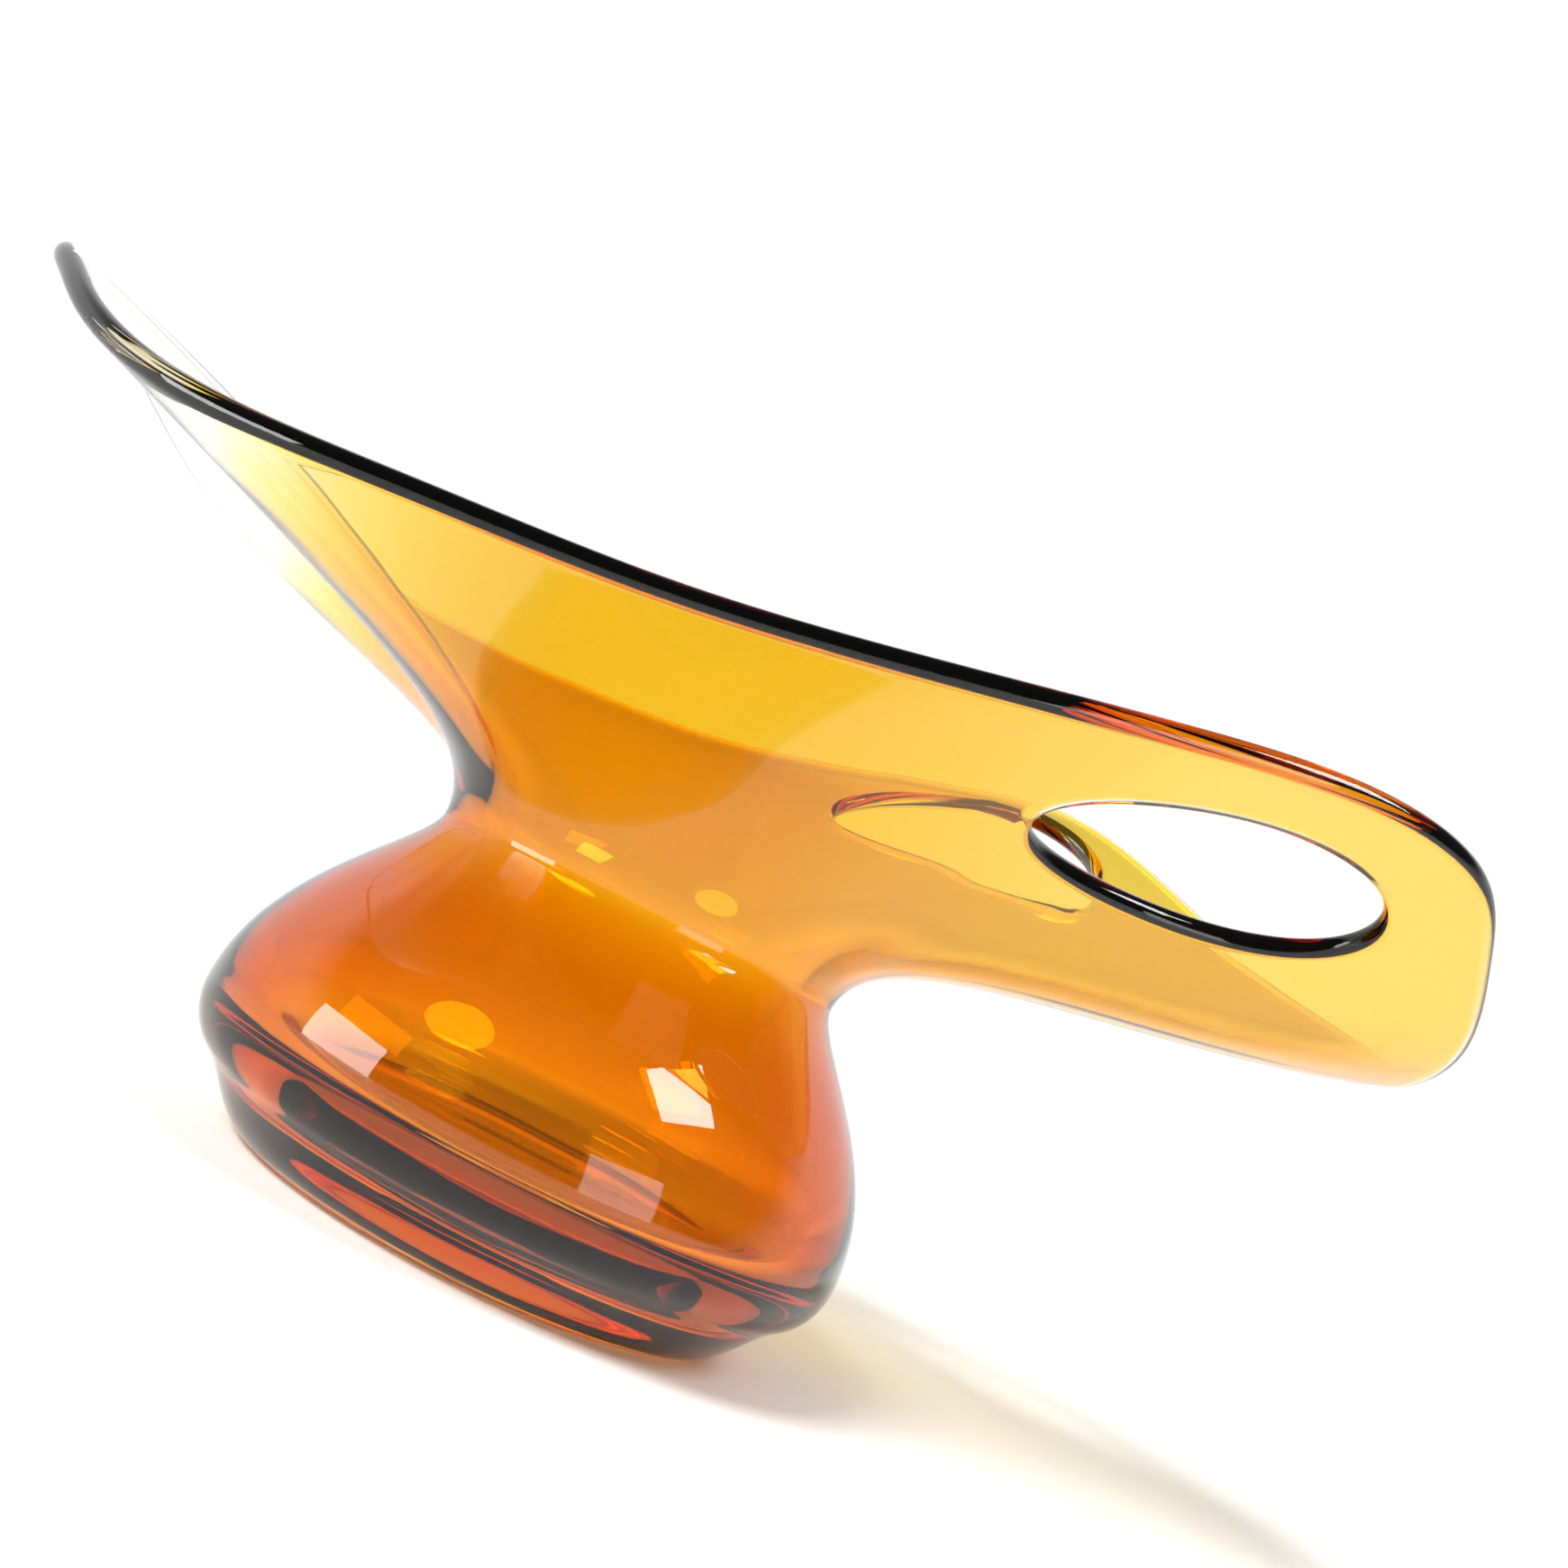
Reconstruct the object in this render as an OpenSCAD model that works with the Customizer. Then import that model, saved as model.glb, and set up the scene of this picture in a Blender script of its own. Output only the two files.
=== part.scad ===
// Free-blown art glass bowl: a thin-walled footed body with a waisted neck that opens
// into a long flared bowl.  One end of the bowl is drawn out to a tip, the other
// is a broad raised tongue with an oval finger hole through each side.
// Millimetres, +Z up.  The origin is the middle of the flat face it stands on,
// +X points along the bowl to the pierced end, -Y is the front.

/* [Foot] */
// Radius of the flat face that it stands on
foot_flat_r = 43; // [40:0.5:46]
// Height of the foot, up to the crease under the body
foot_h = 10.2; // [8:0.2:12]
// Outer radius at the crease
crease_r = 55.9; // [54:0.1:58]

/* [Body] */
// Largest outer radius of the body
belly_r = 62.3; // [60:0.1:65]
// Height of the largest radius
belly_z = 21.4; // [19:0.2:24]
// Height of the waist, where the bowl starts to flare
neck_z = 64.5; // [62:0.5:68]
// Outer radius of the waist
neck_r = 39.6; // [38:0.1:42]

/* [Amber core and cavity] */
// Radius of the open bore at the waist
bore_r = 33.2; // [32:0.2:34]
// Thickness of the amber layer in the body's wall
core_wall = 3; // [2:0.5:3.5]
// Thickness of the amber layer under the cavity's floor
core_base = 1.5; // [1:0.5:2]
// Largest radius of the cavity inside the body
cavity_r = 54; // [52:0.5:54.5]
// Height of the cavity's floor
cavity_floor_z = 12.5; // [12.5:0.5:16]
// Height from the cavity's floor to its largest radius
cavity_turn = 12; // [11:0.5:13]

/* [Flared bowl] */
// Half of the wall's thickness at the rim
rim_half = 2.2; // [1.8:0.1:2.4]
// How fast the wall thins from the waist to the rim, as a power
wall_thinning = 4; // [3:0.5:6]
// How far the outer face rises straight before it flares, as a part of the section
outer_rise = 0.17; // [0.14:0.01:0.2]
// How far the straight lip reaches back from the rim, as a part of the section
lip_reach = 0.42; // [0.36:0.01:0.46]
// Upward slope of the lip, in degrees, before it steepens at the sides
lip_slope = 17; // [14:1:20]

/* [Finger holes] */
// Half length of the front hole
front_hole_a = 31.5; // [28:0.5:33]
// Half width of the front hole
front_hole_b = 15.2; // [14:0.2:17]
// Half length of the back hole
back_hole_a = 29; // [26:0.5:31]
// Half width of the back hole
back_hole_b = 16.8; // [15:0.2:18]
// How much wider an oval is towards the tongue's end
oval_swell = 0.14; // [0:0.01:0.2]

/* [Hidden] */
$fn = 96;

// Divisions of the flared bowl: round the rim, along a section, round the edge
RING = 72;
ALONG = 12;
EDGE = 4;

// Centre line of the rim: tongue's end, front side, tip, then the back side
RIM = [
    [145.3, 0, 103.3], [140.4, -26, 109.8], [126.1, -48, 120.8], [109.4, -65.5, 128.8],
    [84, -75, 128.8], [53.5, -79, 122.3], [18, -79.5, 113.3], [-21, -76.5, 105.3],
    [-60.5, -69.5, 101.8], [-97, -55.5, 101.3], [-122.5, -35.5, 107.8], [-137, -17, 116.3],
    [-144.3, 0, 121.3],
    [-136, 18, 117.3], [-121.5, 37.5, 106.3], [-98, 55.5, 97.3], [-60.5, 69.5, 99.8],
    [-21, 77, 106.3], [18, 80, 114.3], [49.5, 76.5, 123.8], [79, 67, 128.8],
    [102.5, 54, 123.8], [124, 37, 113.8], [140.9, 18, 106.3]
];

// Middles of the two holes, and the angles that lay an oval on the wall there
FRONT_HOLE_AT = [75, -50.8, 113.3];
BACK_HOLE_AT = [60.5, 50.5, 112];
HOLE_ROLL = 33.6;
HOLE_PITCH = -11.4;
HOLE_TURN = 7.5;
OVAL_POINTS = 40;
CUT_DEPTH = 30;

// Small step for slopes, as a part of the way round or along
STEP = 0.001;

function unit(v) = v / norm(v);

// Point at t, from 0 to 1, on the curve with four control points
function bezier(p, t) =
    pow(1 - t, 3) * p[0] + 3 * pow(1 - t, 2) * t * p[1]
    + 3 * (1 - t) * t * t * p[2] + pow(t, 3) * p[3];

// The same curve as a list of points, without its first one
function bezier_run(p, steps) = [for (i = [1:steps]) bezier(p, i / steps)];

// Point on the closed smooth curve through the rim's stations, u from 0 to 1
function rim_at(u) =
    let (n = len(RIM), x = (u - floor(u)) * n, i = floor(x), w = x - i,
         a = RIM[(i + n - 1) % n], b = RIM[i % n],
         c = RIM[(i + 1) % n], d = RIM[(i + 2) % n])
    0.5 * (2 * b + (c - a) * w + (2 * a - 5 * b + 4 * c - d) * w * w
           + (3 * b - a - 3 * c + d) * pow(w, 3));

// Point on the bowl's outer face: u runs round the rim, t from the waist to the rim
function outer_face(u, t) =
    let (p = rim_at(u), a = atan2(p[1], p[0]), up = [0, 0, 1],
         start = [neck_r * cos(a), neck_r * sin(a), neck_z],
         size = norm(p - start),
         flat = unit([p[0] - start[0], p[1] - start[1], 0]),
         slope = lip_slope + 12 * abs(sin(a)) + 3 * cos(a),
         lip = cos(slope) * flat + sin(slope) * up,
         across = unit(cross(lip, rim_at(u + STEP) - rim_at(u - STEP))),
         end = p + rim_half * (across[2] > 0 ? -across : across))
    bezier([start, start + outer_rise * size * up, end - lip_reach * size * lip, end], t);

// Direction straight out of the outer face
function outward(u, t) =
    let (lower = max(t - STEP, 0), upper = min(t + STEP, 1),
         round = outer_face(u + STEP, t) - outer_face(u - STEP, t),
         along = outer_face(u, upper) - outer_face(u, lower),
         n = unit(cross(along, round)))
    n[2] > 0 ? -n : n;

// Thickness of the wall at t
function wall(t) =
    2 * rim_half + (neck_r - bore_r - 2 * rim_half) * pow(1 - t, wall_thinning);

// One closed loop of the wall's section: up the inner face, round the edge, down
// the outer face
function wall_loop(u) =
    let (normal = outward(u, 1), tip = outer_face(u, 1),
         lip = unit(tip - outer_face(u, 1 - STEP)), middle = tip - rim_half * normal)
    concat(
        [for (i = [0:ALONG]) let (t = i / ALONG)
            outer_face(u, t) - wall(t) * (i == 0 ? radial(u) : outward(u, t))],
        [for (i = [1:EDGE - 1]) let (a = 180 * i / EDGE)
            middle + rim_half * (sin(a) * lip - cos(a) * normal)],
        [for (i = [ALONG:-1:0]) outer_face(u, i / ALONG)]
    );

// Level direction from the axis to the rim at u
function radial(u) = let (p = rim_at(u)) unit([p[0], p[1], 0]);

// Foot: a solid disc whose side swells up to the crease
module foot() {
    side = [[foot_flat_r, 0], [foot_flat_r + 6, 0], [crease_r - 4.4, foot_h / 2],
            [crease_r, foot_h]];
    color([0.95, 0.82, 0.66])
        rotate_extrude()
            polygon(concat([[0, 0], [foot_flat_r, 0]], bezier_run(side, 10), [[0, foot_h]]));
}

// Profile of the cavity, from the middle of its floor to the waist
function cavity_outside() =
    let (turn_z = cavity_floor_z + cavity_turn)
    concat(
        [[0, cavity_floor_z]],
        bezier_run([[0, cavity_floor_z], [cavity_r * 0.8, cavity_floor_z],
                    [cavity_r, cavity_floor_z + cavity_turn * 0.3], [cavity_r, turn_z]], 12),
        bezier_run([[cavity_r, turn_z], [cavity_r, 42], [bore_r, 54], [bore_r, neck_z]], 16));

// Thickness of the amber layer at a height
function core_depth(z) =
    let (w = min(max((z - cavity_floor_z) / 16, 0), 1))
    core_base + (core_wall - core_base) * w * w * (3 - 2 * w);

// Profile of the amber layer's outside: the cavity's, moved squarely into the glass
function core_outside() =
    let (p = cavity_outside(), last = len(p) - 1)
    [for (i = [0:last])
        let (way = i == 0 ? [1, 0] : i == last ? [0, 1] : unit(p[i + 1] - p[i - 1]))
        p[i] + core_depth(p[i][1]) * [way[1], -way[0]]];

// Clear casing of the body: glass from the crease to the waist, with the
// amber layer's room inside it
module body_casing() {
    outside = concat(
        [[crease_r, foot_h]],
        bezier_run([[crease_r, foot_h], [crease_r + 3.6, foot_h + 2],
                    [belly_r, belly_z - 5.9], [belly_r, belly_z]], 8),
        bezier_run([[belly_r, belly_z], [belly_r, 43], [neck_r, 58], [neck_r, neck_z]], 20));
    core = core_outside();
    color([0.98, 0.86, 0.7])
        rotate_extrude()
            polygon(concat([[0, foot_h]], outside, [for (i = [len(core) - 1:-1:0]) core[i]]));
}

// Amber layer that lines the body: a cup with an open top
module amber_core() {
    cavity = cavity_outside();
    color([0.96, 0.5, 0.06])
        rotate_extrude()
            polygon(concat(core_outside(), [for (i = [len(cavity) - 1:-1:0]) cavity[i]]));
}

// Oval cutter whose long axis lies along the wall; hand is 1 in front, -1 at the back
module oval_cutter(at, half_length, half_width, hand) {
    translate(at)
        rotate([-hand * HOLE_ROLL, HOLE_PITCH, hand * HOLE_TURN])
            linear_extrude(height = CUT_DEPTH, center = true)
                polygon([for (i = [0:OVAL_POINTS - 1]) let (a = 360 * i / OVAL_POINTS)
                    [half_length * cos(a), half_width * sin(a) * (1 + oval_swell * cos(a))]]);
}

// Wall of the bowl, as one closed skin swept round the rim
module bowl_wall() {
    per = 2 * (ALONG + 1) + EDGE - 1;
    points = [for (k = [0:RING - 1]) each wall_loop(k / RING)];
    faces = [for (k = [0:RING - 1]) for (i = [0:per - 1])
        let (a = k * per + i, b = k * per + (i + 1) % per,
             c = ((k + 1) % RING) * per + (i + 1) % per, d = ((k + 1) % RING) * per + i)
        each [[a, c, b], [a, d, c]]];
    polyhedron(points = points, faces = faces, convexity = 6);
}

// Flared bowl with its two finger holes
module flared_bowl() {
    color([0.97, 0.72, 0.16])
        difference() {
            bowl_wall();
            oval_cutter(FRONT_HOLE_AT, front_hole_a, front_hole_b, 1);
            oval_cutter(BACK_HOLE_AT, back_hole_a, back_hole_b, -1);
        }
}

foot();
body_casing();
amber_core();
flared_bowl();
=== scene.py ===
"""Art glass bowl: amber glass cased in clear, on a round foot, with a long flared bowl.

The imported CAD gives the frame.  The visible glass is two nested skins built here: the clear casing,
whose faces bend light, and the amber layer inside it, which only colours light by its thickness.
Shape values are in millimetres and repeat those of the CAD, apart from the amber's thickness, the
rounded edges of the holes, the shallow dish under the foot and the ripple of the surface.
"""
import math

import bmesh
import bpy
import numpy as np
from mathutils import Matrix, Vector


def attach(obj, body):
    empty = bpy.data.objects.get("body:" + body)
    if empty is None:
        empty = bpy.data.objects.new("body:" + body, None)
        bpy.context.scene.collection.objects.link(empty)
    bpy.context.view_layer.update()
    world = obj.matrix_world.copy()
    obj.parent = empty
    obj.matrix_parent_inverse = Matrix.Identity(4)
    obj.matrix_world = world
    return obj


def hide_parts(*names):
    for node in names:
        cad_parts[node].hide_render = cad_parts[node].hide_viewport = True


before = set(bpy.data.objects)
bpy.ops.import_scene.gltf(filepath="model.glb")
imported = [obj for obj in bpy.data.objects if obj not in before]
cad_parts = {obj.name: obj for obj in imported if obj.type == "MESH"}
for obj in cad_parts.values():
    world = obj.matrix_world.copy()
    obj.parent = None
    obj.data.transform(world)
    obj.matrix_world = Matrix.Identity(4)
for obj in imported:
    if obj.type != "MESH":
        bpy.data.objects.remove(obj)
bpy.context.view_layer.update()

MM = 0.001

# ---------------------------------------------------------------- driving sizes, millimetres
FOOT_FLAT_R = 43.0
FOOT_H = 10.2
CREASE_R = 55.9
BELLY_R, BELLY_Z = 62.3, 21.4
NECK_R, NECK_Z = 39.6, 64.5
SHOULDER_Z, THROAT_Z = 43.0, 58.0            # heights that shape the body's side
DISH_R, DISH_DEPTH = 17.0, 0.7               # shallow dish under the foot
CREASE_SOFT = 2.6                            # how far the crease is evened out
BORE_R = 33.2
CAVITY_R, CAVITY_FLOOR_Z = 54.0, 12.5
CAVITY_TURN = 12.0
CAVITY_SHOULDER_Z, CAVITY_THROAT_Z = 42.0, 54.0
RIM_HALF = 2.2
WALL_THINNING = 4.0
OUTER_RISE = 0.17
LIP_REACH = 0.42
LIP_SLOPE = 17.0
LIP_SIDE_SLOPE, LIP_END_SLOPE = 12.0, 3.0    # added at the sides, and at the tongue's end

# Centre line of the rim: tongue's end, front side, tip, then the back side
RIM = np.array([
    (145.3, 0, 103.3), (140.4, -26, 109.8), (126.1, -48, 120.8), (109.4, -65.5, 128.8),
    (84, -75, 128.8), (53.5, -79, 122.3), (18, -79.5, 113.3), (-21, -76.5, 105.3),
    (-60.5, -69.5, 101.8), (-97, -55.5, 101.3), (-122.5, -35.5, 107.8), (-137, -17, 116.3),
    (-144.3, 0, 121.3),
    (-136, 18, 117.3), (-121.5, 37.5, 106.3), (-98, 55.5, 97.3), (-60.5, 69.5, 99.8),
    (-21, 77, 106.3), (18, 80, 114.3), (49.5, 76.5, 123.8), (79, 67, 128.8),
    (102.5, 54, 123.8), (124, 37, 113.8), (140.9, 18, 106.3),
], float)

# The two finger holes: middle, half length, half width, hand
HOLES = [
    dict(at=(75.0, -50.8, 113.3), a=31.5, b=15.2, hand=1),
    dict(at=(60.5, 50.5, 112.0), a=29.0, b=16.8, hand=-1),
]
HOLE_ROLL, HOLE_PITCH, HOLE_TURN = 33.6, -11.4, 7.5
OVAL_SWELL = 0.14

# The amber layer in the bowl's wall
SKIN = 0.3           # clear skin between the amber and the inner face
AMBER_WALL = 2.8     # amber thickness in the bowl's wall
AMBER_BODY = 4.2     # in the body's wall
AMBER_FLOOR = 1.0    # and under the cavity's floor
AMBER_FADE = (-102.0, -32.0)  # it thins out between these places towards the tip
AMBER_EASE = (0.0, 70.0, 0.42)  # and between these by this share towards the tongue
AMBER_LEAST = 0.02
AMBER_BACK = 0.2     # how far behind the rim it ends
AMBER_TIP_BACK = 6.0  # and how much further at the tip
AMBER_HOLE_GAP = 0.7
AMBER_COLOUR, AMBER_DENSITY = (0.976, 0.845, 0.0, 1), 1250.0
CASING_COLOUR, CASING_DENSITY = (0.93, 0.72, 0.55, 1), 3.0

# The ripple of hand-worked glass, up to 0.1 mm
RIPPLE_SHARE = 0.6
RIPPLE_WAY = np.array([1.0, 0.0, 0.25])
RIPPLE_FULL_Z = 8.0  # it fades below this height, towards the flat face

# Mesh fineness
PER_STATION = 12
COLUMNS = PER_STATION * len(RIM)
ROWS = 56
CAP = 10
STEP = 1e-4


# ---------------------------------------------------------------- curves
def bezier(p0, p1, p2, p3, t):
    s = 1 - t
    return s ** 3 * p0 + 3 * s * s * t * p1 + 3 * s * t * t * p2 + t ** 3 * p3


def run(points, steps):
    """Points of one Bezier curve, without its first point."""
    p = [np.array(q, float) for q in points]
    return [bezier(*p, i / steps) for i in range(1, steps + 1)]


def smooth_tangents(points):
    """Tangents that make the closed curve through the points bend evenly."""
    n = len(points)
    system = 4 * np.eye(n) + np.roll(np.eye(n), 1, 1) + np.roll(np.eye(n), -1, 1)
    return np.linalg.solve(system, 3 * (np.roll(points, -1, 0) - np.roll(points, 1, 0)))


RIM_TANGENTS = smooth_tangents(RIM)


def rim_at(u):
    """Point on the closed rim curve, u from 0 to 1."""
    n = len(RIM)
    x = np.mod(u, 1.0) * n
    i = np.floor(x).astype(int) % n
    w = (x - np.floor(x))[..., None]
    a, b, ta, tb = RIM[i], RIM[(i + 1) % n], RIM_TANGENTS[i], RIM_TANGENTS[(i + 1) % n]
    return ((2 * w ** 3 - 3 * w ** 2 + 1) * a + (w ** 3 - 2 * w ** 2 + w) * ta
            + (3 * w ** 2 - 2 * w ** 3) * b + (w ** 3 - w ** 2) * tb)


def unit(v):
    return v / np.linalg.norm(v, axis=-1, keepdims=True)


def azimuth(u):
    p = rim_at(u)
    return np.arctan2(p[..., 1], p[..., 0])


UP = np.array([0.0, 0.0, 1.0])
FAR_BELOW = 200  # the outer face looks outwards and down, towards a place this far below


# ---------------------------------------------------------------- the bowl's wall
def outer_face(u, t):
    """Point on the bowl's outer face: u runs round the rim, t from the waist to the rim."""
    u, t = np.broadcast_arrays(np.asarray(u, float), np.asarray(t, float))
    p = rim_at(u)
    a = np.arctan2(p[..., 1], p[..., 0])
    start = np.stack([NECK_R * np.cos(a), NECK_R * np.sin(a), np.full_like(a, NECK_Z)], -1)
    size = np.linalg.norm(p - start, axis=-1, keepdims=True)
    flat = unit((p - start) * [1, 1, 0])
    slope = np.radians(LIP_SLOPE + LIP_SIDE_SLOPE * np.abs(np.sin(a))
                       + LIP_END_SLOPE * np.cos(a))[..., None]
    lip = np.cos(slope) * flat + np.sin(slope) * UP
    across = unit(np.cross(lip, rim_at(u + STEP) - rim_at(u - STEP)))
    end = p + RIM_HALF * np.where(across[..., 2:] > 0, -across, across)
    return bezier(start, start + OUTER_RISE * size * UP, end - LIP_REACH * size * lip, end,
                  t[..., None])


def outward(u, t):
    """Direction straight out of the outer face."""
    u, t = np.broadcast_arrays(np.asarray(u, float), np.asarray(t, float))
    low, high = np.clip(t - STEP, 0, 1), np.clip(t + STEP, 0, 1)
    around = outer_face(u + STEP, t) - outer_face(u - STEP, t)
    along = outer_face(u, high) - outer_face(u, low)
    n = unit(np.cross(along, around))
    radial = outer_face(u, t) * [1, 1, 0]
    wrong = (n * (radial - FAR_BELOW * UP)).sum(-1, keepdims=True) < 0
    return np.where(wrong, -n, n)


def wall(t):
    return 2 * RIM_HALF + (NECK_R - BORE_R - 2 * RIM_HALF) * (1 - t) ** WALL_THINNING


def clear_depths(u, t):
    """Depths of the casing's two faces under the outer face."""
    return np.zeros_like(t), wall(t)


def amber_depths(u, t):
    """Depths of the amber layer's two faces under the outer face."""
    low, high = AMBER_FADE
    share = np.clip((outer_face(u, t)[..., 0] - low) / (high - low), 0, 1)
    start, full, loss = AMBER_EASE
    ease = np.clip((outer_face(u, t)[..., 0] - start) / (full - start), 0, 1)
    thick = AMBER_WALL * share * share * (3 - 2 * share) * (1 - loss * ease * ease * (3 - 2 * ease))
    thick = np.maximum(thick, AMBER_LEAST)
    inner = wall(t) - SKIN
    return inner - thick, inner


def hole_axes(hole):
    """Long axis, short axis and normal of a hole's plane."""
    h = hole["hand"]
    turn = (Matrix.Rotation(math.radians(h * HOLE_TURN), 3, "Z")
            @ Matrix.Rotation(math.radians(HOLE_PITCH), 3, "Y")
            @ Matrix.Rotation(math.radians(-h * HOLE_ROLL), 3, "X"))
    return np.array(turn).T


def plane_point(hole, u, t):
    """Place of the wall's middle surface in a hole's plane: along, across, and height over it."""
    middle = outer_face(u, t) - outward(u, t) * (wall(t) / 2)[..., None]
    return (middle - np.array(hole["at"])) @ hole_axes(hole).T


def oval(hole, angle, grow):
    """Point of the hole's outline, grown by a margin."""
    return np.stack([(hole["a"] + grow) * np.cos(angle),
                     (hole["b"] + grow) * np.sin(angle) * (1 + OVAL_SWELL * np.cos(angle))], -1)


def wall_place(hole, target, u, t):
    """Moves the guesses u, t until the wall's middle surface lies over the target places."""
    small = 1e-4
    for _ in range(8):
        here = plane_point(hole, u, t)[..., :2]
        du = (plane_point(hole, u + small, t)[..., :2] - here) / small
        dt = (plane_point(hole, u, t + small)[..., :2] - here) / small
        miss = target - here
        det = du[..., 0] * dt[..., 1] - du[..., 1] * dt[..., 0]
        u = u + (miss[..., 0] * dt[..., 1] - miss[..., 1] * dt[..., 0]) / det
        t = np.clip(t + (du[..., 0] * miss[..., 1] - du[..., 1] * miss[..., 0]) / det, 0.02, 1)
    return u, t


# ---------------------------------------------------------------- turned profiles
def round_off(points, centre, radius):
    """Evens out a profile near a sharp crease."""
    p = np.array(points, float)
    near = np.linalg.norm(p - centre, axis=1) < radius
    for _ in range(6):
        q = p.copy()
        q[1:-1] = 0.25 * p[:-2] + 0.5 * p[1:-1] + 0.25 * p[2:]
        p[near] = q[near]
    return p


def casing_profile():
    """Outside of foot and body, from the middle of the underside to the waist."""
    dish = [np.array([r, DISH_DEPTH * (1 - (r / DISH_R) ** 2) ** 2])
            for r in np.linspace(2, DISH_R, 8)]
    flat = [np.array([r, 0.0]) for r in np.linspace(19, FOOT_FLAT_R, 10)]
    foot = run([(FOOT_FLAT_R, 0), (FOOT_FLAT_R + 6, 0), (CREASE_R - 4.4, FOOT_H / 2),
                (CREASE_R, FOOT_H)], 16)
    under = run([(CREASE_R, FOOT_H), (CREASE_R + 3.6, FOOT_H + 2), (BELLY_R, BELLY_Z - 5.9),
                 (BELLY_R, BELLY_Z)], 16)
    side = run([(BELLY_R, BELLY_Z), (BELLY_R, SHOULDER_Z), (NECK_R, THROAT_Z), (NECK_R, NECK_Z)], 40)
    return round_off(dish + flat + foot + under + side, (CREASE_R, FOOT_H), CREASE_SOFT)


def cavity_profile():
    """The cavity's face, from the middle of its floor to the waist."""
    r, floor, turn = CAVITY_R, CAVITY_FLOOR_Z, CAVITY_FLOOR_Z + CAVITY_TURN
    return np.array(
        run([(0, floor), (r * 0.8, floor), (r, floor + CAVITY_TURN * 0.3), (r, turn)], 24)
        + run([(r, turn), (r, CAVITY_SHOULDER_Z), (BORE_R, CAVITY_THROAT_Z), (BORE_R, NECK_Z)], 30))


def sunk(profile, floor_depth, side_depth, waist_depth):
    """A profile moved into the glass: depths under the floor, in the wall, at the waist."""
    rise = np.clip((profile[:, 1:] - CAVITY_FLOOR_Z) / 14, 0, 1)
    near = np.clip((profile[:, 1:] - 44) / (NECK_Z - 44), 0, 1)
    depth = floor_depth + (side_depth - floor_depth) * rise * rise * (3 - 2 * rise)
    depth = depth + (waist_depth - side_depth) * near * near * (3 - 2 * near)
    way = np.gradient(np.vstack([[0, profile[0, 1]], profile]), axis=0)[1:]
    way[-1] = (0, 1)
    n = np.stack([way[:, 1], -way[:, 0]], 1) / np.linalg.norm(way, axis=1, keepdims=True)
    return profile + depth * n


# ---------------------------------------------------------------- one closed skin
def tip_back(u):
    """How far behind the rim the amber ends: further at the drawn tip."""
    a = azimuth(u)
    return AMBER_BACK + AMBER_TIP_BACK * np.exp(-((np.abs(a) - math.pi) / 0.22) ** 2)


def ripple(p):
    """Slow unevenness of hand-worked glass, from wave lengths in millimetres."""
    x, y, z = p[:, 0], p[:, 1], p[:, 2]
    return (0.10 * np.sin(x / 13.0 + 1.3 * np.sin(y / 21.0)) * np.cos(y / 17.0 + z / 11.0)
            + 0.06 * np.sin(z / 6.5 + 2.0 * np.sin(x / 29.0 + y / 23.0)))


class Skin:
    """Collects the vertices and faces of one closed skin."""

    def __init__(self):
        self.points, self.faces = [], []
        self.count = 0

    def add(self, points):
        points = np.asarray(points, float).reshape(-1, 3)
        first = self.count
        self.points.append(points)
        self.count += len(points)
        return np.arange(first, self.count)

    def strip(self, lower, upper):
        """Quads between two closed rings."""
        a, b = lower, np.roll(lower, -1)
        c, d = np.roll(upper, -1), upper
        self.faces += np.stack([a, b, c, d], 1).tolist()

    def fan(self, ring, centre):
        hub = int(self.add(centre)[0])
        self.faces += [[hub, int(b), int(a)] for a, b in zip(ring, np.roll(ring, -1))]


def turned_rings(skin, profile, angles):
    """Rings of a turned profile, lowest first."""
    rings = []
    for r, z in profile:
        rings.append(skin.add(np.stack([r * np.cos(angles), r * np.sin(angles),
                                        np.full_like(angles, z)], 1)))
    return rings


def wall_points(u, t, depths, rounding):
    """The two faces of the layer at u, t; rounding is 1 away from an edge and 0 on it."""
    top, bottom = depths(u, t)
    middle, half = (top + bottom) / 2, (bottom - top) / 2 * rounding
    face, n = outer_face(u, t), outward(u, t)
    return (face - n * (middle - half)[..., None], face - n * (middle + half)[..., None])


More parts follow.
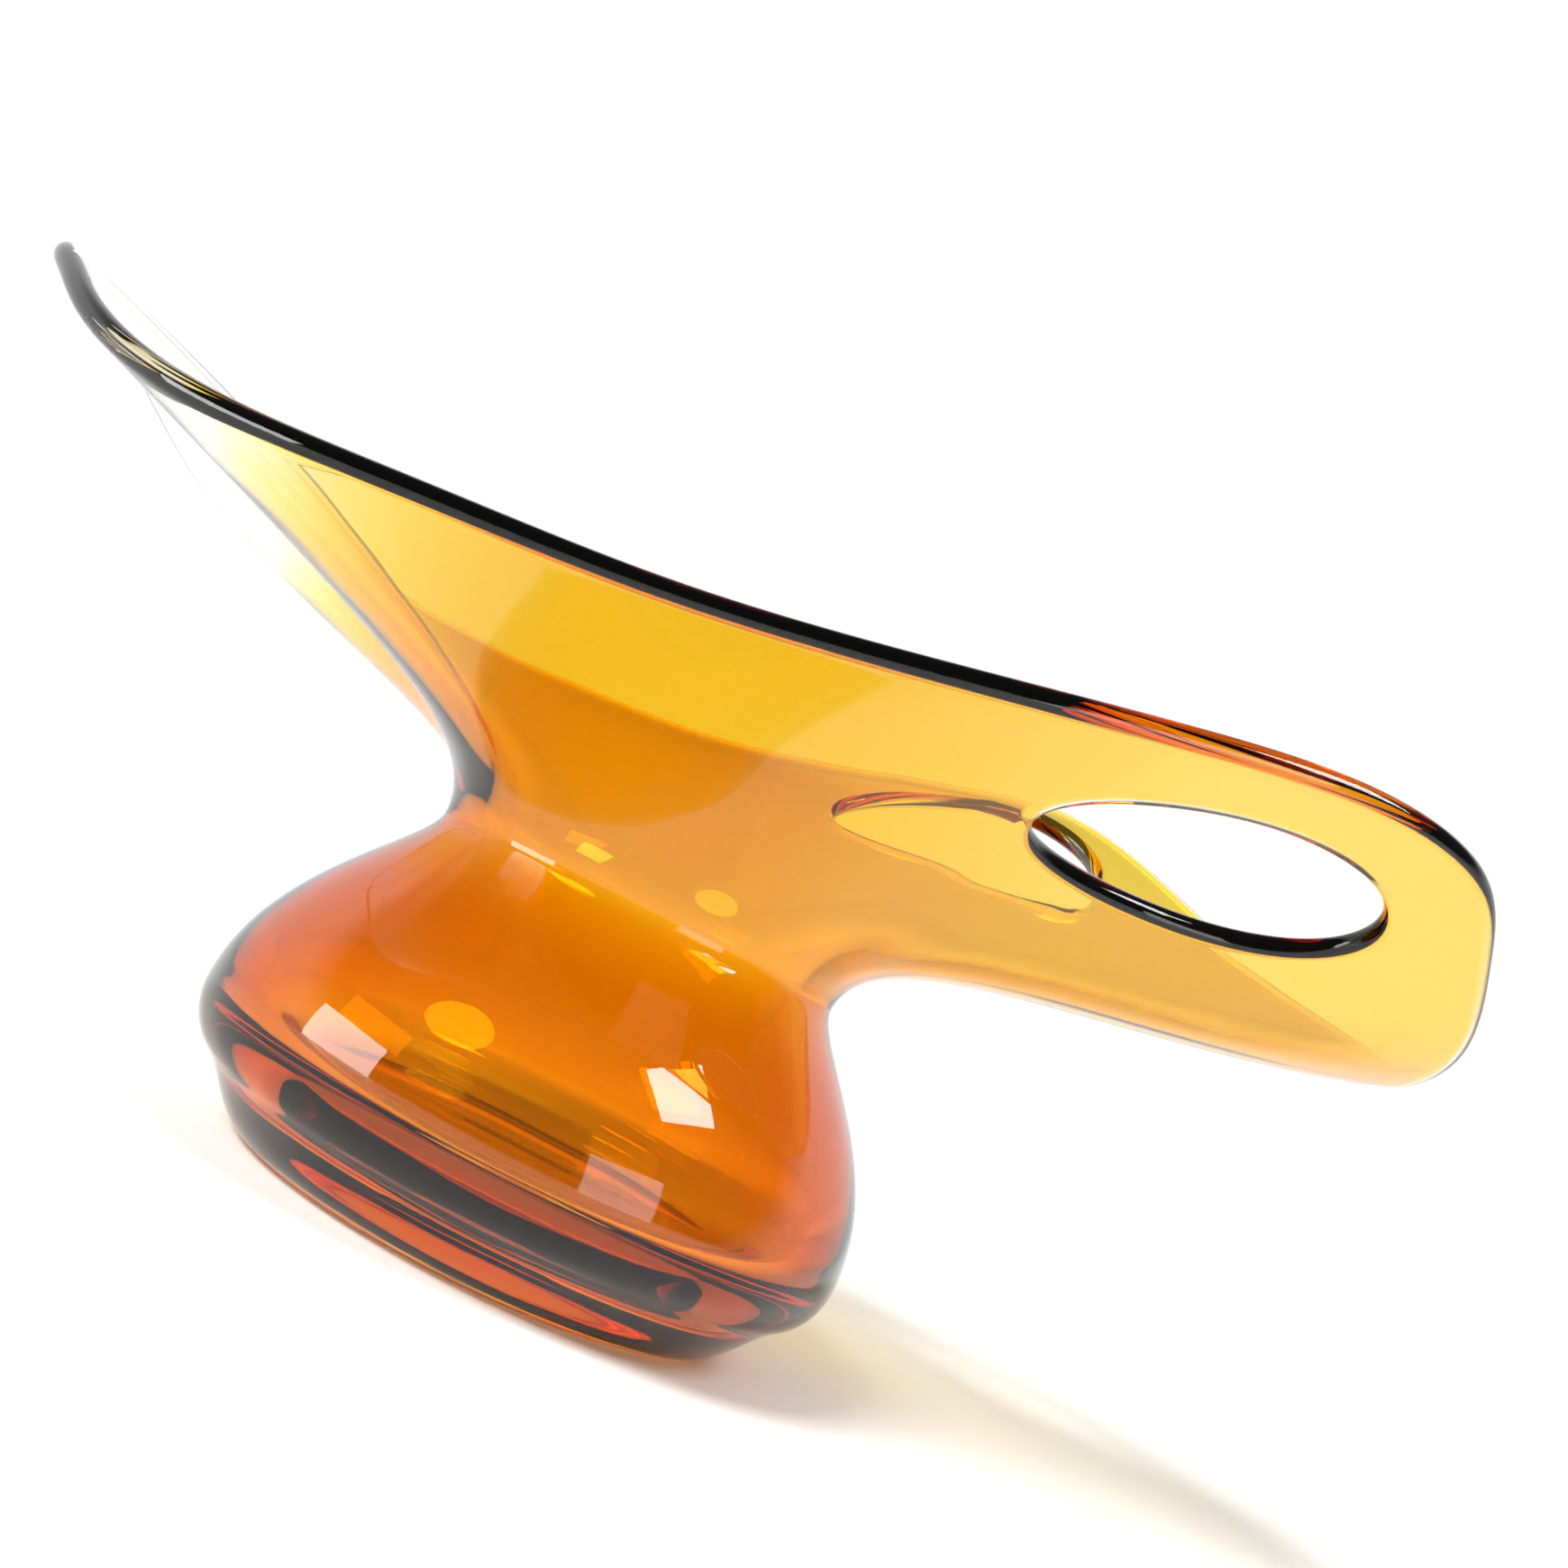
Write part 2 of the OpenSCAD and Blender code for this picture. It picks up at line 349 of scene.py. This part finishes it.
def pierce(skin, hole, u, t, outside, inside, depths, grow, keep):
    """Replaces a block of the wall's grid by rings round a finger hole with rounded edges."""
    place = plane_point(hole, u, t)
    span = np.hypot(place[..., 0] / (hole["a"] + grow), place[..., 1] / (hole["b"] + grow))
    same_side = np.sign(outer_face(u, t)[..., 1]) == np.sign(hole["at"][1])
    inner = (span < 1.12) & same_side & (np.abs(place[..., 2]) < 25)
    columns, rows = np.nonzero(inner.any(1))[0], np.nonzero(inner.any(0))[0]
    i0, i1 = columns[0] - 3, columns[-1] + 3
    j0, j1 = rows[0] - 2, min(rows[-1] + 2, u.shape[1] - 3)
    keep[i0:i1, j0:j1] = False
    path = ([(i, j0) for i in range(i0, i1)] + [(i1, j) for j in range(j0, j1)]
            + [(i, j1) for i in range(i1, i0, -1)] + [(i0, j) for j in range(j1, j0, -1)])
    pi, pj = np.array(path).T
    pu, pt, flat = u[pi, pj], t[pi, pj], place[pi, pj][:, :2]
    angle = np.arctan2(flat[:, 1] / hole["b"], flat[:, 0] / hole["a"])
    edge = oval(hole, angle, grow)
    away = unit(flat - edge)
    gap = np.linalg.norm(flat - edge, axis=1)
    top, bottom = depths(pu, pt)
    half = float(np.mean(bottom - top)) / 2
    centre_u, centre_t = wall_place(hole, np.zeros((1, 2)), np.array([pu.mean()]),
                                    np.array([pt.mean()]))
    rounded = [(half * (1 - math.cos(k * math.pi / 12)), math.sin(k * math.pi / 12))
               for k in range(1, 7)]
    shares = [(k / 9) ** 1.25 for k in range(1, 9)]
    plans = [(edge, 0.0)]
    plans += [(edge + away * e, s) for e, s in rounded]
    plans += [(edge + away * (half + (gap - half) * s)[:, None], 1.0) for s in shares]
    outer_rings, inner_rings = [], []
    for target, rounding in plans:
        share = (np.linalg.norm(target, axis=1) / np.linalg.norm(flat, axis=1))
        ru, rt = wall_place(hole, target, centre_u + (pu - centre_u) * share,
                            centre_t + (pt - centre_t) * share)
        above, below = wall_points(ru, rt, depths, rounding)
        ring = skin.add(above)
        outer_rings.append(ring)
        inner_rings.append(ring if rounding == 0.0 else skin.add(below))
    outer_rings.append(outside[pi, pj])
    inner_rings.append(inside[pi, pj])
    for a, b in zip(outer_rings, outer_rings[1:]):
        skin.strip(a, b)
    for a, b in zip(inner_rings, inner_rings[1:]):
        skin.strip(b, a)


def closed_skin(name, outside_profile, inside_profile, depths, back, hole_grow, floors):
    """Builds one closed skin: outside, rounded rim, inside, with both holes."""
    skin = Skin()
    turn = np.arange(COLUMNS) / COLUMNS
    angles = azimuth(turn)
    reach = np.linalg.norm(outer_face(turn, 1.0) - outer_face(turn, 0.0), axis=-1)
    end = 1 - back(turn) / reach if back else np.ones(COLUMNS)
    steps = np.linspace(0, 1, ROWS + 1)
    u = np.repeat(turn[:, None], ROWS + 1, 1)
    t = end[:, None] * steps[None, :]
    above, below = wall_points(u, t, depths, 1.0)
    outside = np.stack([skin.add(above[:, j]) for j in range(ROWS + 1)], 1)
    inside = np.stack([skin.add(below[:, j]) for j in range(ROWS + 1)], 1)
    keep = np.ones((COLUMNS, ROWS), bool)
    for hole in HOLES:
        pierce(skin, hole, u, t, outside, inside, depths, hole_grow, keep)
    nxt = (np.arange(COLUMNS) + 1) % COLUMNS
    for j in range(ROWS):
        for i in np.nonzero(keep[:, j])[0]:
            k = nxt[i]
            skin.faces.append([outside[i, j], outside[k, j], outside[k, j + 1], outside[i, j + 1]])
            skin.faces.append([inside[i, j + 1], inside[k, j + 1], inside[k, j], inside[i, j]])
    top, bottom = depths(turn, end)
    middle, half = ((top + bottom) / 2)[:, None], ((bottom - top) / 2)[:, None]
    n = outward(turn, end)
    lip = unit(outer_face(turn, end) - outer_face(turn, end - 1e-3))
    centre = outer_face(turn, end) - n * middle
    previous = outside[:, ROWS]
    for k in range(1, CAP):
        a = math.pi * k / CAP
        ring = skin.add(centre + half * (math.cos(a) * n + math.sin(a) * lip))
        skin.strip(previous, ring)
        previous = ring
    skin.strip(previous, inside[:, ROWS])
    for profile, last, flip, floor in ((outside_profile, outside[:, 0], False, floors[0]),
                                       (inside_profile, inside[:, 0], True, floors[1])):
        rings = turned_rings(skin, profile[:-1], angles) + [last]
        for a, b in zip(rings, rings[1:]):
            skin.strip(*((b, a) if flip else (a, b)))
        skin.fan(rings[0][::-1] if flip else rings[0], [[0, 0, floor]])
    return skin_object(name, skin)


def skin_object(name, skin):
    """Makes a smooth object of a skin, with outward faces and the surface's ripple."""
    points = np.vstack(skin.points)
    mesh = bpy.data.meshes.new(name)
    mesh.from_pydata(points.tolist(), [], [[int(v) for v in f] for f in skin.faces])
    mesh.update()
    made = bmesh.new()
    made.from_mesh(mesh)
    bmesh.ops.recalc_face_normals(made, faces=made.faces)
    made.to_mesh(mesh)
    made.free()
    fade = np.clip(points[:, 2] / RIPPLE_FULL_Z, 0, 1)
    push = ripple(points) * fade * RIPPLE_SHARE * np.sign(points[:, 0] + 1e-9)
    points = points + push[:, None] * RIPPLE_WAY
    mesh.vertices.foreach_set("co", (points * MM).ravel())
    mesh.polygons.foreach_set("use_smooth", [True] * len(mesh.polygons))
    mesh.update()
    piece = bpy.data.objects.new(name, mesh)
    bpy.context.scene.collection.objects.link(piece)
    return piece


# ---------------------------------------------------------------- materials
def new_material(name):
    material = bpy.data.materials.new(name)
    material.use_nodes = True
    material.node_tree.nodes.clear()
    return material, material.node_tree.nodes, material.node_tree.links


def clear_glass():
    """Clear casing: bends light, almost colourless, with slow waves and faint wear."""
    material, nodes, links = new_material("clear_casing_glass")
    out = nodes.new("ShaderNodeOutputMaterial")
    glass = nodes.new("ShaderNodeBsdfPrincipled")
    glass.inputs["Base Color"].default_value = (1, 1, 1, 1)
    glass.inputs["Transmission Weight"].default_value = 1.0
    glass.inputs["IOR"].default_value = 1.5
    place = nodes.new("ShaderNodeTexCoord")
    wear = nodes.new("ShaderNodeTexNoise")
    wear.inputs["Scale"].default_value = 900.0
    wear.inputs["Detail"].default_value = 4.0
    ramp = nodes.new("ShaderNodeMapRange")
    ramp.inputs["From Min"].default_value = 0.66
    ramp.inputs["From Max"].default_value = 0.8
    ramp.inputs["To Min"].default_value = 0.0
    ramp.inputs["To Max"].default_value = 0.12
    links.new(place.outputs["Object"], wear.inputs["Vector"])
    links.new(wear.outputs["Fac"], ramp.inputs["Value"])
    links.new(ramp.outputs["Result"], glass.inputs["Roughness"])
    wave = nodes.new("ShaderNodeTexNoise")
    wave.inputs["Scale"].default_value = 45.0
    wave.inputs["Detail"].default_value = 1.0
    bump = nodes.new("ShaderNodeBump")
    bump.inputs["Strength"].default_value = 0.25
    bump.inputs["Distance"].default_value = 0.0004
    links.new(place.outputs["Object"], wave.inputs["Vector"])
    links.new(wave.outputs["Fac"], bump.inputs["Height"])
    links.new(bump.outputs["Normal"], glass.inputs["Normal"])
    tint = nodes.new("ShaderNodeVolumeAbsorption")
    tint.inputs["Color"].default_value = CASING_COLOUR
    tint.inputs["Density"].default_value = CASING_DENSITY
    links.new(glass.outputs["BSDF"], out.inputs["Surface"])
    links.new(tint.outputs["Volume"], out.inputs["Volume"])
    return material


def amber_glass():
    """Amber layer: same glass, so its faces bend nothing; it colours light by thickness."""
    material, nodes, links = new_material("amber_layer_glass")
    out = nodes.new("ShaderNodeOutputMaterial")
    see = nodes.new("ShaderNodeBsdfTransparent")
    colour = nodes.new("ShaderNodeVolumeAbsorption")
    colour.inputs["Color"].default_value = AMBER_COLOUR
    colour.inputs["Density"].default_value = AMBER_DENSITY
    links.new(see.outputs["BSDF"], out.inputs["Surface"])
    links.new(colour.outputs["Volume"], out.inputs["Volume"])
    return material


# ---------------------------------------------------------------- the object
def build_glass():
    """Builds both skins, hangs them under the root body and hides the CAD nodes they stand for."""
    cavity = cavity_profile()
    casing = closed_skin("clear_casing", casing_profile(), cavity, clear_depths,
                         None, 0.0, (DISH_DEPTH, CAVITY_FLOOR_Z))
    amber = closed_skin("amber_layer",
                        sunk(cavity, SKIN + AMBER_FLOOR, SKIN + AMBER_BODY, SKIN + AMBER_WALL),
                        sunk(cavity, SKIN, SKIN, SKIN),
                        amber_depths, tip_back, AMBER_HOLE_GAP,
                        (CAVITY_FLOOR_Z - SKIN - AMBER_FLOOR, CAVITY_FLOOR_Z - SKIN))
    casing.data.materials.append(clear_glass())
    amber.data.materials.append(amber_glass())
    for piece, slot in ((casing, "clear_glass"), (amber, "amber_glass")):
        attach(piece, "root")
    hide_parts("foot", "body_casing", "flared_bowl")
    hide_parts("amber_core")


# ---------------------------------------------------------------- camera, floor, light
CAMERA_AT = (-22.5, -321.2, 59.5)      # millimetres
HEADING, PITCH, ROLL = 6.3, 6.8, 27.3  # degrees
LENS, SENSOR = 39.9, 36.0
SWEEP_LIGHT, ROOM_LIGHT = 1.3, 0.12
FLOOR_Z = -0.00015  # metres; a small gap keeps the floor and the foot apart
FLOOR_HALF = 6.0    # metres


def add_camera():
    h, p, r = (math.radians(v) for v in (HEADING, PITCH, ROLL))
    ahead = Vector((math.sin(h) * math.cos(p), math.cos(h) * math.cos(p), math.sin(p)))
    level = Vector((math.cos(h), -math.sin(h), 0))
    up = level.cross(ahead)
    right = math.cos(r) * level + math.sin(r) * up
    top = math.cos(r) * up - math.sin(r) * level
    data = bpy.data.cameras.new("camera")
    data.lens, data.sensor_width = LENS, SENSOR
    data.clip_start = 0.01
    camera = bpy.data.objects.new("camera", data)
    camera.matrix_world = (Matrix.Translation(Vector(CAMERA_AT) * MM)
                           @ Matrix((right, top, -ahead)).transposed().to_4x4())
    bpy.context.scene.collection.objects.link(camera)
    bpy.context.scene.camera = camera


def add_floor():
    half = FLOOR_HALF
    mesh = bpy.data.meshes.new("floor")
    mesh.from_pydata([(-half, -half, FLOOR_Z), (half, -half, FLOOR_Z), (half, half, FLOOR_Z),
                      (-half, half, FLOOR_Z)],
                     [], [(0, 1, 2, 3)])
    floor = bpy.data.objects.new("floor", mesh)
    bpy.context.scene.collection.objects.link(floor)
    material, nodes, links = new_material("pale_floor")
    out = nodes.new("ShaderNodeOutputMaterial")
    paint = nodes.new("ShaderNodeBsdfPrincipled")
    paint.inputs["Base Color"].default_value = (0.9, 0.895, 0.885, 1)
    paint.inputs["Roughness"].default_value = 0.55
    paint.inputs["Specular IOR Level"].default_value = 0.2
    links.new(paint.outputs["BSDF"], out.inputs["Surface"])
    mesh.materials.append(material)


def add_world():
    """A bright sweep behind the object; a dim room in front and overhead."""
    world = bpy.data.worlds.new("studio")
    bpy.context.scene.world = world
    world.use_nodes = True
    nodes, links = world.node_tree.nodes, world.node_tree.links
    nodes.clear()
    out = nodes.new("ShaderNodeOutputWorld")
    sky = nodes.new("ShaderNodeBackground")
    place = nodes.new("ShaderNodeTexCoord")
    lean = nodes.new("ShaderNodeVectorMath")
    lean.operation = "DOT_PRODUCT"
    lean.inputs[1].default_value = (0, -0.9, 1)
    ramp = nodes.new("ShaderNodeMapRange")
    ramp.inputs["From Min"].default_value = 0.1
    ramp.inputs["From Max"].default_value = 0.38
    ramp.inputs["To Min"].default_value = SWEEP_LIGHT
    ramp.inputs["To Max"].default_value = ROOM_LIGHT
    links.new(place.outputs["Generated"], lean.inputs[0])
    links.new(lean.outputs["Value"], ramp.inputs["Value"])
    links.new(ramp.outputs["Result"], sky.inputs["Strength"])
    links.new(sky.outputs["Background"], out.inputs["Surface"])


def aimed(name, data, azimuth_deg, elevation_deg, distance):
    """A light seen from the object at an azimuth from -Y towards +X, and an elevation."""
    a, e = math.radians(azimuth_deg), math.radians(elevation_deg)
    way = Vector((math.sin(a) * math.cos(e), -math.cos(a) * math.cos(e), math.sin(e)))
    light = bpy.data.objects.new(name, data)
    light.location = Vector((0, 0, 0.05)) + way * distance
    light.rotation_euler = way.to_track_quat("Z", "Y").to_euler()
    bpy.context.scene.collection.objects.link(light)
    return light


def add_softbox(name, azimuth_deg, elevation_deg, width, height, radiance, distance=1.2):
    """A rectangular lamp; sizes and distance in metres."""
    data = bpy.data.lights.new(name, "AREA")
    data.shape = "RECTANGLE"
    data.size, data.size_y = width, height
    data.energy = radiance * math.pi * width * height
    aimed(name, data, azimuth_deg, elevation_deg, distance)


def add_light():
    sun = bpy.data.lights.new("soft_sun", "SUN")
    sun.energy = 4.5
    sun.angle = math.radians(24)
    aimed("soft_sun", sun, -48, 36, 3).visible_glossy = False
    add_softbox("window_left", -68, 6, 0.62, 0.34, 9)
    add_softbox("window_front", 30, 4, 0.55, 0.6, 3.5)
    add_softbox("lamp_right", 54, 50, 0.4, 0.34, 14)


scene = bpy.context.scene
add_camera()
add_floor()
add_world()
add_light()
build_glass()
scene.view_settings.view_transform = "Standard"
scene.cycles.max_bounces = 24
scene.cycles.transmission_bounces = 24
scene.cycles.transparent_max_bounces = 32
